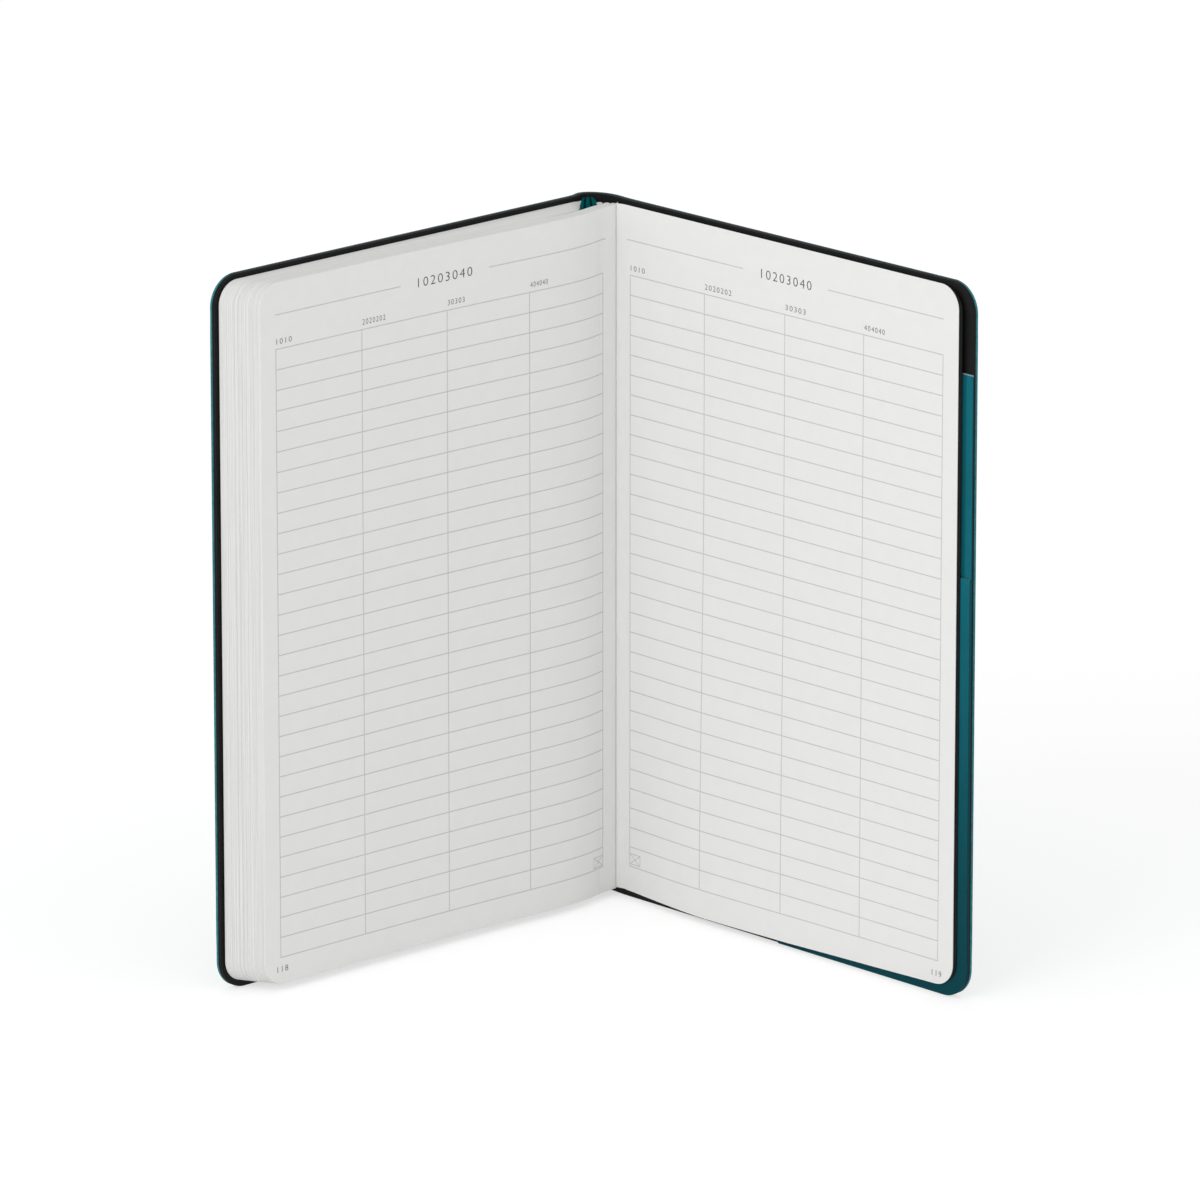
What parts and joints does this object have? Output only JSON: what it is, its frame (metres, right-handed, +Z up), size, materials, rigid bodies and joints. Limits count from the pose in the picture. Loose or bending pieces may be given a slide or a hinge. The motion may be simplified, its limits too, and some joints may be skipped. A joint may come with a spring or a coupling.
{
  "type": "notebook",
  "caption": "Thread-sewn notebook with a flexible leather-look cover, ribbon marker and inner pocket, standing open at its last opening.",
  "frame": {"origin": "middle of the footprint, on the surface that the notebook stands on", "axes": "+Z up along the spine, +X to the reader's right, +Y away from the reader, from the pages to the spine"},
  "size_m": [0.1844, 0.0924, 0.18],
  "materials": {
    "cover_skin": "fine-grained leather-look skin, satin",
    "cover_core": "dyed-through black board, matt",
    "cover_lining": "black lining paper, matt",
    "black_paper": "black flyleaf paper, matt",
    "page_paper": "smooth uncoated writing paper",
    "pocket_card": "smooth coloured card, matt",
    "ribbon": "woven satin ribbon",
    "mull_cloth": "open-weave cotton, glued",
    "sewing_thread": "waxed linen thread"
  },
  "bodies": {
    "spine": {"spine_skin": "cover_skin", "spine_inlay": "cover_core", "spine_lining": "cover_lining", "front_joint": "cover_skin", "back_joint": "cover_skin", "mull": "mull_cloth", "sewing_link_1": "sewing_thread", "sewing_link_2": "sewing_thread", "sewing_link_3": "sewing_thread", "sewing_link_4": "sewing_thread", "sewing_link_5": "sewing_thread", "signature_fold_1": "page_paper", "signature_fold_2": "page_paper", "signature_fold_3": "page_paper", "signature_fold_4": "page_paper", "signature_fold_5": "page_paper", "signature_fold_6": "page_paper", "last_leaf_fold": "page_paper", "ribbon_root": "ribbon", "ribbon_arch": "ribbon"},
    "front_cover": {"front_skin": "cover_skin", "front_board": "cover_core", "front_lining": "cover_lining"},
    "text_block": {"front_flyleaf": "black_paper", "signature_1": "page_paper", "signature_2": "page_paper", "signature_3": "page_paper", "signature_4": "page_paper", "signature_5": "page_paper", "signature_6": "page_paper", "ribbon_tail": "ribbon"},
    "top_leaf": {"top_leaf": "page_paper"},
    "back_cover": {"back_skin": "cover_skin", "back_board": "cover_core", "back_lining": "cover_lining", "rear_flyleaf_joint": "black_paper", "pocket_back": "pocket_card", "pocket_seam": "pocket_card", "pocket_bottom_gusset": "pocket_card", "pocket_side_gusset": "pocket_card"},
    "rear_flyleaf": {"rear_flyleaf": "black_paper"},
    "last_leaf": {"last_leaf": "page_paper"},
    "pocket_panel": {"pocket_front": "pocket_card"}
  },
  "joints": [
    {"name": "front_cover_hinge", "type": "hinge", "parent": "spine", "child": "front_cover", "pos_m": [-0.00404, 0.04257, 0.09], "axis": [0, 0, -1], "range_deg": [-26.2, 59.3], "deforming": ["front_joint", "signature_fold_1", "signature_fold_2", "signature_fold_3", "signature_fold_4", "signature_fold_5", "signature_fold_6", "ribbon_arch"]},
    {"name": "block_turn", "type": "hinge", "parent": "front_cover", "child": "text_block", "pos_m": [0.00116, 0.03359, 0.09], "axis": [0, 0, 1], "range_deg": [0, 40]},
    {"name": "top_leaf_turn", "type": "hinge", "parent": "text_block", "child": "top_leaf", "pos_m": [0.00116, 0.03359, 0.09], "axis": [0, 0, 1], "range_deg": [0, 50]},
    {"name": "back_cover_hinge", "type": "hinge", "parent": "spine", "child": "back_cover", "pos_m": [0.00721, 0.03937, 0.09], "axis": [0, 0, 1], "range_deg": [-55.8, 29.7], "deforming": ["back_joint", "last_leaf_fold"]},
    {"name": "flyleaf_turn", "type": "hinge", "parent": "back_cover", "child": "rear_flyleaf", "pos_m": [0.00803, 0.03681, 0.09], "axis": [0, 0, -1], "range_deg": [0, 12], "deforming": ["rear_flyleaf_joint"]},
    {"name": "last_leaf_turn", "type": "hinge", "parent": "rear_flyleaf", "child": "last_leaf", "pos_m": [0.00786, 0.03664, 0.09], "axis": [0, 0, -1], "range_deg": [0, 50]},
    {"name": "pocket_mouth", "type": "hinge", "parent": "back_cover", "child": "pocket_panel", "pos_m": [0.04292, 0.00155, 0.053], "axis": [0, 0, -1], "range_deg": [0, 3], "deforming": ["pocket_seam", "pocket_bottom_gusset", "pocket_side_gusset"]}
  ],
  "couplings": [
    {"joint": "pocket_mouth", "follows": "flyleaf_turn", "ratio": 0.25}
  ]
}
